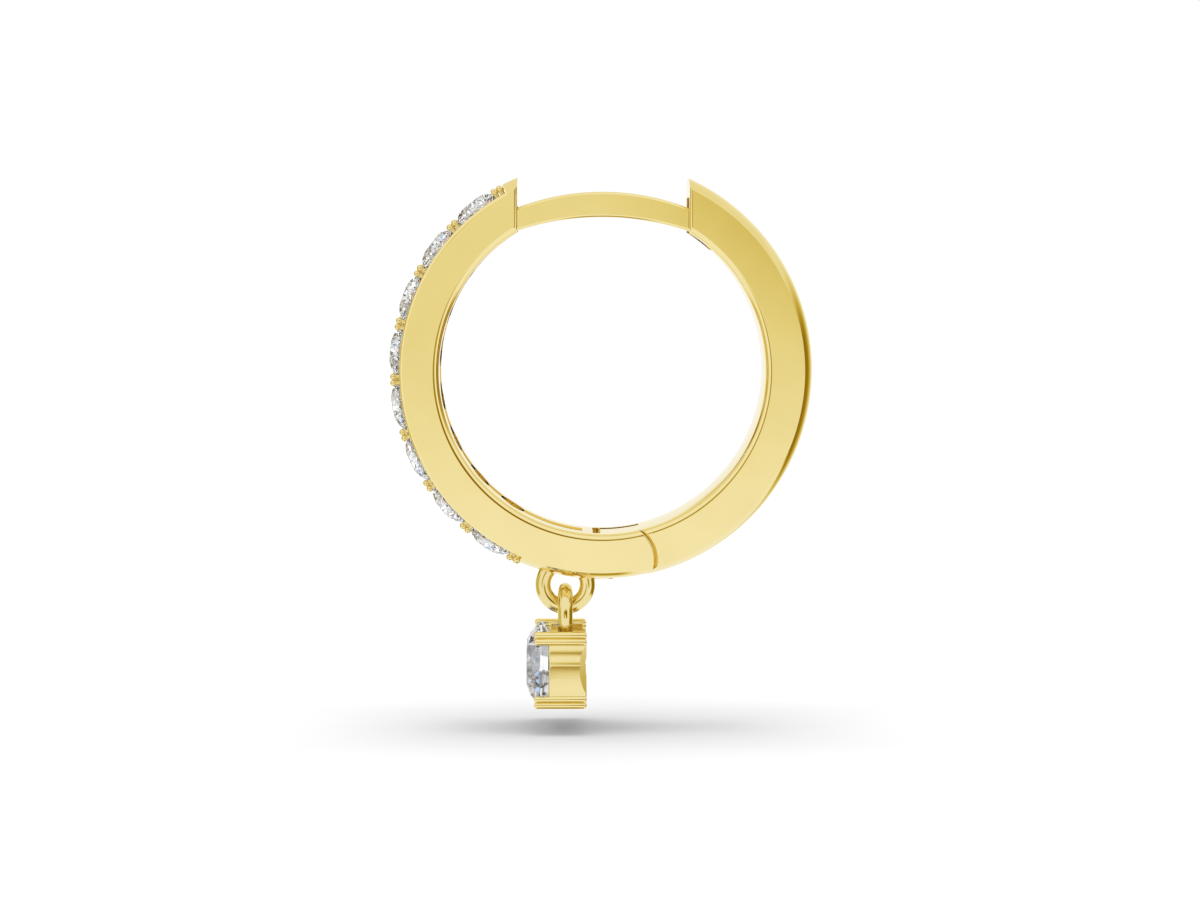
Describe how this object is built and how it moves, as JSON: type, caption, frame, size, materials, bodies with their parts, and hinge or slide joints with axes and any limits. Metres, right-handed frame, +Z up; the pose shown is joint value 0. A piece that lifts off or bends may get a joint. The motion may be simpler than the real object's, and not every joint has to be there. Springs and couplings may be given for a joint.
{
  "type": "hoop charm earring",
  "caption": "Hinged gold hoop earring with round stones set along its front, an ear post across the top and a single-stone drop hanging from a bail and link.",
  "frame": {"origin": "middle of the ear post, where it goes through the ear lobe", "axes": "+Z up as the earring is worn, +Y along the hoop's axis, -X towards the set stones"},
  "size_m": [0.0135, 0.0028, 0.017],
  "materials": {
    "gold": "polished",
    "stone": "faceted"
  },
  "bodies": {
    "hoop_front": {"front_half": "gold", "ear_post": "gold", "hinge_pin": "gold", "hoop_stone_1": "stone", "hoop_stone_2": "stone", "hoop_stone_3": "stone", "hoop_stone_4": "stone", "hoop_stone_5": "stone", "hoop_stone_6": "stone", "hoop_stone_7": "stone", "hoop_stone_8": "stone"},
    "hoop_back": {"back_half": "gold"},
    "link_ring": {"link": "gold"},
    "drop": {"drop_basket": "gold", "drop_stone": "stone"}
  },
  "joints": [
    {"name": "back_hinge", "type": "hinge", "parent": "hoop_front", "child": "hoop_back", "pos_m": [0.00055, 0, -0.01124], "axis": [0, 1, 0], "range_deg": [0, 75]},
    {"name": "link_swing", "type": "hinge", "parent": "hoop_front", "child": "link_ring", "pos_m": [-0.00118, 0, -0.01291], "axis": [1, 0, 0], "range_deg": [-35, 35]},
    {"name": "drop_swing", "type": "hinge", "parent": "link_ring", "child": "drop", "pos_m": [-0.00118, 0, -0.01383], "axis": [0, 1, 0], "range_deg": [-20, 20]}
  ]
}
